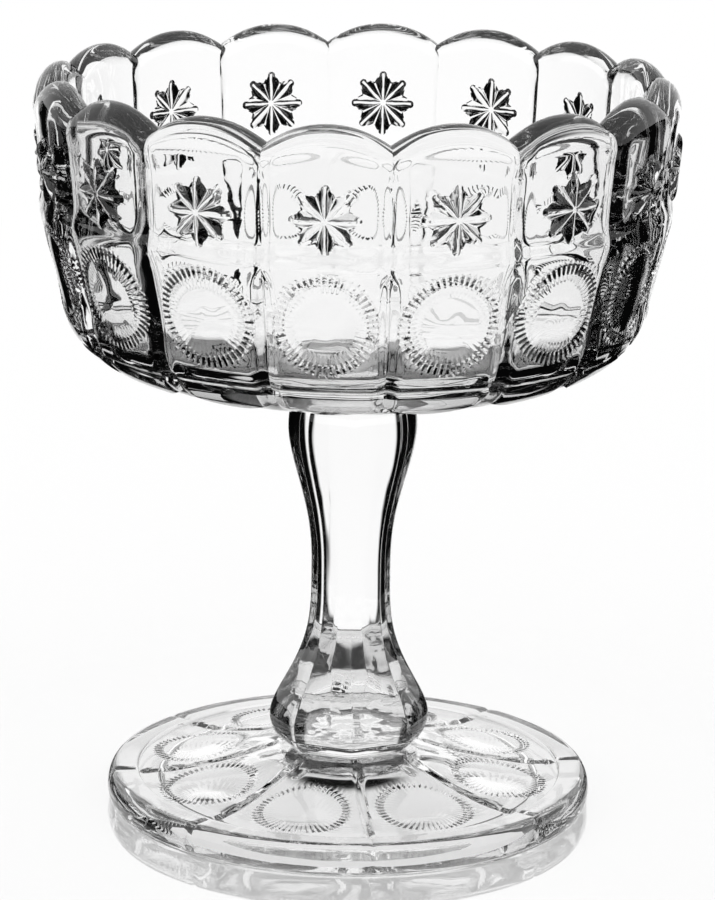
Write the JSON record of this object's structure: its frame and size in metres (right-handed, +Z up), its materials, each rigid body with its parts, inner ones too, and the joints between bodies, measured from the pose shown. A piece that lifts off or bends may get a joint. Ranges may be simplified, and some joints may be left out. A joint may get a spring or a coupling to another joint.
{
  "type": "footed candy dish",
  "caption": "Footed candy dish in clear pressed glass: a round scalloped bowl with stars and notched rings, on a faceted baluster stem and a domed round foot.",
  "frame": {"origin": "middle of the foot's underside, in the plane that the dish stands on", "axes": "+Z up along the stem; a joint between two panels of the bowl faces -Y"},
  "size_m": [0.1644, 0.1644, 0.194],
  "materials": {
    "bowl_glass": "clear pressed glass, fire polished",
    "stem_glass": "clear pressed glass, fire polished",
    "foot_glass": "clear pressed glass, fire polished",
    "wafer_glass": "clear fused glass"
  },
  "bodies": {
    "root": {"bowl": "bowl_glass", "bowl_wafer": "wafer_glass", "stem": "stem_glass", "foot_wafer": "wafer_glass", "foot": "foot_glass"}
  },
  "joints": []
}
